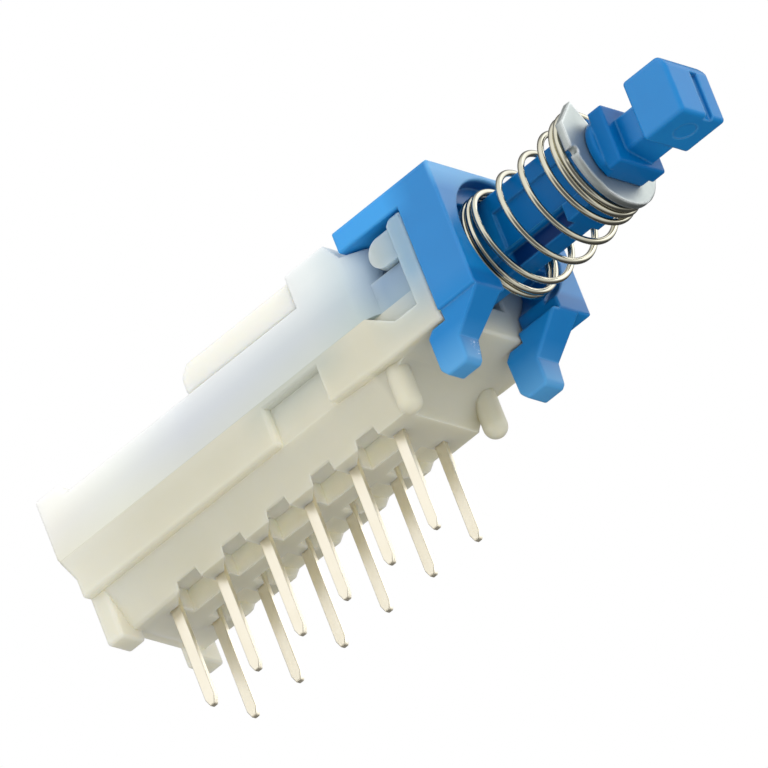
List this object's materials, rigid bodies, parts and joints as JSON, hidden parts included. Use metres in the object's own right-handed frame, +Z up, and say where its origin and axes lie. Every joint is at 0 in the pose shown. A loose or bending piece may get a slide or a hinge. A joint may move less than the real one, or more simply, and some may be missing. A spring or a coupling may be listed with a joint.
{
  "type": "self-locking push switch",
  "caption": "Latching push switch for a circuit board: slim nylon housing, flat terminals in two rows, blue front bracket and a sprung blue plunger with a head for a push-on cap.",
  "frame": {"origin": "middle of the terminal grid, on the face of the board that the feet stand on", "axes": "+X along the plunger towards its head, +Z up from the board, +Y to the left"},
  "size_m": [0.0328, 0.0072, 0.0122],
  "materials": {
    "natural_nylon": "moulded natural nylon, satin",
    "cover_nylon": "moulded white nylon, satin",
    "blue_acetal": "moulded blue acetal, satin",
    "plated_brass": "stamped brass, tin plated",
    "spring_steel": "drawn spring wire, nickel plated",
    "zinc_steel": "stamped steel, zinc plated",
    "contact_bronze": "stamped phosphor bronze"
  },
  "bodies": {
    "housing": {"base_housing": "natural_nylon", "top_cover": "cover_nylon", "latch_cap": "natural_nylon", "latch_spring": "contact_bronze", "front_bracket": "blue_acetal", "return_spring": "spring_steel", "terminal_1": "plated_brass", "terminal_2": "plated_brass", "terminal_3": "plated_brass", "terminal_4": "plated_brass", "terminal_5": "plated_brass", "terminal_6": "plated_brass", "terminal_7": "plated_brass", "terminal_8": "plated_brass", "terminal_9": "plated_brass", "terminal_10": "plated_brass", "terminal_11": "plated_brass", "terminal_12": "plated_brass"},
    "plunger": {"plunger": "blue_acetal", "spring_washer": "zinc_steel", "contact_clip_1": "contact_bronze", "contact_clip_2": "contact_bronze", "contact_clip_3": "contact_bronze", "contact_clip_4": "contact_bronze"},
    "latch_pin": {"latch_pin": "spring_steel"}
  },
  "joints": [
    {"name": "plunger_slide", "type": "slide", "parent": "housing", "child": "plunger", "axis": [-1, 0, 0], "range_m": [0, 0.0033], "stiffness_N_per_m": 600, "springref_m": -0.0025, "deforming": ["return_spring"]},
    {"name": "latch_swing", "type": "hinge", "parent": "housing", "child": "latch_pin", "pos_m": [0.0043, 0, 0.0069], "axis": [0, 0, 1], "range_deg": [0, 14.6]}
  ],
  "couplings": [
    {"joint": "latch_swing", "follows": "plunger_slide", "rad_per_m": 76.57}
  ]
}
